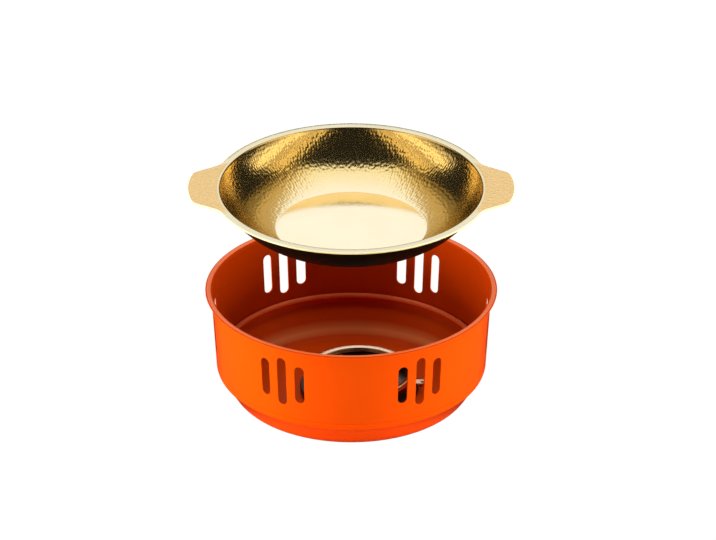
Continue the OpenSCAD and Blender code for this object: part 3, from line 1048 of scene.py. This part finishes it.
def softbox(name, place, aim, size, watts):
    """A rectangular area light that points at a spot and isn't mirrored."""
    lamp = bpy.data.lights.new(name, "AREA")
    lamp.shape = "RECTANGLE"
    lamp.size, lamp.size_y = size
    lamp.energy = watts
    light = bpy.data.objects.new(name, lamp)
    light.location = place
    light.rotation_euler = (Vector(aim) - Vector(place)).to_track_quat("-Z", "Y").to_euler()
    light.visible_camera = False
    light.visible_glossy = False
    bpy.context.scene.collection.objects.link(light)


CAMERA_ELEVATION = 28.0
CAMERA_DISTANCE = 10.0
FRAME_PX = (716, 540)
MM_PER_PX = 0.8214
AXIS_PX = 351.2
GROUND_PX = 392.0
SENSOR_W = 36.0


def photo_camera():
    """Long lens, 28 degrees above the table, with the object placed as in the photographed frame."""
    lift = math.radians(CAMERA_ELEVATION)
    aim = Vector(((FRAME_PX[0] / 2 - AXIS_PX) * MM_PER_PX * MM, 0.0,
                  (GROUND_PX - FRAME_PX[1] / 2) * MM_PER_PX * MM / math.cos(lift)))
    back = Vector((0.0, -math.cos(lift), math.sin(lift)))
    data = bpy.data.cameras.new("photo_camera")
    data.sensor_width = SENSOR_W
    data.lens = SENSOR_W * CAMERA_DISTANCE / (FRAME_PX[0] * MM_PER_PX * MM)
    data.clip_end = 100.0
    camera = bpy.data.objects.new("photo_camera", data)
    camera.location = aim + back * CAMERA_DISTANCE
    camera.rotation_euler = (-back).to_track_quat("-Z", "Y").to_euler()
    bpy.context.scene.collection.objects.link(camera)
    bpy.context.scene.camera = camera


# Floor: half width, height, its white and the paint that soft light sees
FLOOR_HALF = 4.0
FLOOR_Z = -0.3 * MM
FLOOR_GLOW = (1.03, 1.03, 1.03)
FLOOR_PAINT = (0.85, 0.80, 0.06)

# Panels over the pan, in shares of their height: each layer's half width at the front and the back, and
# its glow, then the banded wings at both sides
CEILING_H = 4.0
CEILING_FRONT = -0.12
CEILING_BACK = 3.2
LAYER_RISE = 0.02
CEILING_LAYERS = (
    ("bright", (0.40, 0.10), (1.10, 1.12, 1.10)),
    ("mid", (0.54, 0.20), (1.00, 1.00, 0.82)),
    ("gold", (0.60, 1.4), (0.60, 0.44, 0.18)),
    ("brown", (0.68, 2.2), (0.24, 0.18, 0.07)),
)
WING_FRONT = -2.8
WING_BACK = 0.10
WING_SLANT = 0.28
WING_ANGLES = (39.5, 75)
WING_BANDS = 4
WING_RIPPLE = 0.50
WING_TONES = ((0.78, 0.59, 0.26), (1.22, 1.05, 0.71))
GLOSSY = {"Is Glossy Ray": 1.0}
NO_PAINT = (0.0, 0.0, 0.0)

# Lamps, in metres and watts, and the light of the world
OVERHEAD_H = 1.75
OVERHEAD_SIZE = (2.4, 2.4)
OVERHEAD_WATTS = 56
STRIP_X = 1.13
STRIP_Y = -0.2
STRIP_Z = 0.18
STRIP_SIZE = (0.7, 0.36)
STRIPS = ((-1, "left", 20.5), (1, "right", 14))
WORLD_DIM = 0.022


def white_floor():
    """The table, white to the camera and nearly dark in reflections."""
    shares = {"Is Camera Ray": 0.97, "Is Transmission Ray": 0.97, "Is Glossy Ray": 1.0}
    strengths = {"Is Camera Ray": 1.0, "Is Transmission Ray": 1.0, "Is Glossy Ray": 0.06}
    ground = stage_material("white_floor", shares, strengths, FLOOR_GLOW, FLOOR_PAINT)
    quarters = ((-1, -1), (1, -1), (1, 1), (-1, 1))
    stage_panel("floor", [(x * FLOOR_HALF, y * FLOOR_HALF, FLOOR_Z) for x, y in quarters], ground)


def ceiling(name, corners, glow, rise=0.0):
    """A level panel over the pan that only reflections see, its corners given as shares of its height."""
    height = PAN_Z + CEILING_H + rise
    places = [(x * CEILING_H, y * CEILING_H, height) for x, y in corners]
    panel = stage_panel(name, places, stage_material(name, GLOSSY, GLOSSY, glow, NO_PAINT))
    panel.visible_camera = False
    panel.visible_diffuse = False
    panel.visible_shadow = False


def wing(side, name):
    """Banded panels at one side, which give the bowl's wall its patches."""
    reach = [math.tan(math.radians(a)) for a in np.linspace(*WING_ANGLES, WING_BANDS + 1)]
    for band in range(WING_BANDS):
        edges = reach[band:band + 2]
        ripple = 1 + WING_RIPPLE * (-1) ** band
        glow = [ripple * (a + (b - a) * band / (WING_BANDS - 1)) for a, b in zip(*WING_TONES)]
        corners = [(side * x, WING_FRONT) for x in edges]
        corners += [(side * x, WING_BACK + WING_SLANT * (x - reach[0])) for x in edges[::-1]]
        ceiling("wing_%s_%d" % (name, band), corners, glow)


def surroundings():
    """A world that is white to the camera and gives all other rays little light."""
    world = bpy.data.worlds.new("studio_world")
    world.use_nodes = True
    tree = world.node_tree
    sky = tree.nodes["Background"]
    sky.inputs["Color"].default_value = (1.0, 1.0, 1.0, 1.0)
    dim = add_node(tree, "ShaderNodeBackground")
    dim.inputs["Strength"].default_value = WORLD_DIM
    path = add_node(tree, "ShaderNodeLightPath")
    mix = add_node(tree, "ShaderNodeMixShader")
    tree.links.new(path.outputs["Is Camera Ray"], mix.inputs["Fac"])
    tree.links.new(dim.outputs["Background"], mix.inputs[1])
    tree.links.new(sky.outputs["Background"], mix.inputs[2])
    tree.links.new(mix.outputs["Shader"], tree.nodes["World Output"].inputs["Surface"])
    bpy.context.scene.world = world


def studio():
    """White floor, panels that the metal mirrors, a soft overhead lamp and low strips beside the stove."""
    white_floor()
    for layer, (name, (front, back), glow) in enumerate(CEILING_LAYERS):
        corners = [(-front, CEILING_FRONT), (front, CEILING_FRONT),
                   (back, CEILING_BACK), (-back, CEILING_BACK)]
        ceiling("ceiling_" + name, corners, glow, layer * LAYER_RISE)
    softbox("overhead", (0.0, 0.0, OVERHEAD_H), (0.0, 0.0, 0.0), OVERHEAD_SIZE, OVERHEAD_WATTS)
    for side, name, watts in STRIPS:
        wing(side, name)
        softbox("strip_" + name, (STRIP_X * side, STRIP_Y, STRIP_Z), (0.0, 0.0, STRIP_Z), STRIP_SIZE, watts)
    surroundings()
    bpy.context.scene.view_settings.view_transform = "Standard"


# Dressing the frame


def dress(piece, body, nodes, materials):
    """Gives a new piece its finishes, its body and the solids it stands for."""
    for material in materials:
        piece.data.materials.append(material)
    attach(piece, body)
    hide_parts(*nodes)


def repaint(node, material):
    """Gives a solid of the frame its finish."""
    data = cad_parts[node].data
    data.materials.clear()
    data.materials.append(material)


# Outside enamel, with painted shade where it is seen edge-on
orange = orange_enamel("orange_enamel", (0.87, 0.062, 0.0004), (0.93, 0.070, 0.0005), 0.3, 0.34, 0.42,
                       edge_on_shade=(0.36, 0.026, 0.0002))
# Paler copy for the lip's top and the collar roll: painted highlight
orange_painted_highlight = orange_enamel("orange_painted_highlight", (0.98, 0.17, 0.045), (1.0, 0.195, 0.06), 0.3, 0.30, 0.40)
# Darker copy for the inside, the slot edges and parts of the lip: painted shade
orange_painted_shade = orange_enamel("orange_painted_shade", (0.54, 0.041, 0.0004), (0.60, 0.046, 0.0005), 0.1, 0.32, 0.40)
# Darker copy for the inside of the base: painted shade, with a paler ring as painted highlight
orange_floor_painted_light = orange_enamel("orange_floor_painted_light", (0.66, 0.060, 0.0006), (0.74, 0.068, 0.0008), 0.1, 0.32, 0.40,
                             highlight_ring=(1.0, 0.30, 0.09))
# Lighter copy for the outside of the base: painted light, with painted shade edge-on
orange_base_lightened = orange_enamel("orange_base_lightened", (0.97, 0.068, 0.0004), (1.0, 0.076, 0.0005), 0.15, 0.34, 0.42,
                            edge_on_shade=(0.40, 0.028, 0.0002))
gold = hammered_gold()
coating = black_coating()
enamel = black_enamel()
# Steel tinted warm: painted reflection of the orange enamel round it
steel_warm_reflection = turned_steel("steel_warm_reflection", (0.78, 0.57, 0.41), (0.86, 0.64, 0.47), 0.14, 0.26)
burnt_steel = turned_steel("burnt_steel", (0.20, 0.17, 0.15), (0.34, 0.31, 0.29), 0.34, 0.50)
felt = wick_felt()

dress(stove_wall(), "stove", ["stove_shell"], [orange, orange_painted_highlight, orange_painted_shade])
dress(base_dish(), "stove", ["base_pan"], [orange_base_lightened, orange_painted_highlight, orange_floor_painted_light])
dress(hammered_pan(), "pan", ["pan"], [gold, coating, dull_edge()])
dress(burner_collar(), "burner", ["burner_ring"], [steel_warm_reflection])
repaint("fuel_cup", enamel)
repaint("wick_pad", felt)
repaint("flame_plate", burnt_steel)
repaint("regulator_sleeve", enamel)
for bright_node in ("regulator_lever", "lever_rivets", "lever_knob"):
    repaint(bright_node, steel_warm_reflection)

studio()
photo_camera()
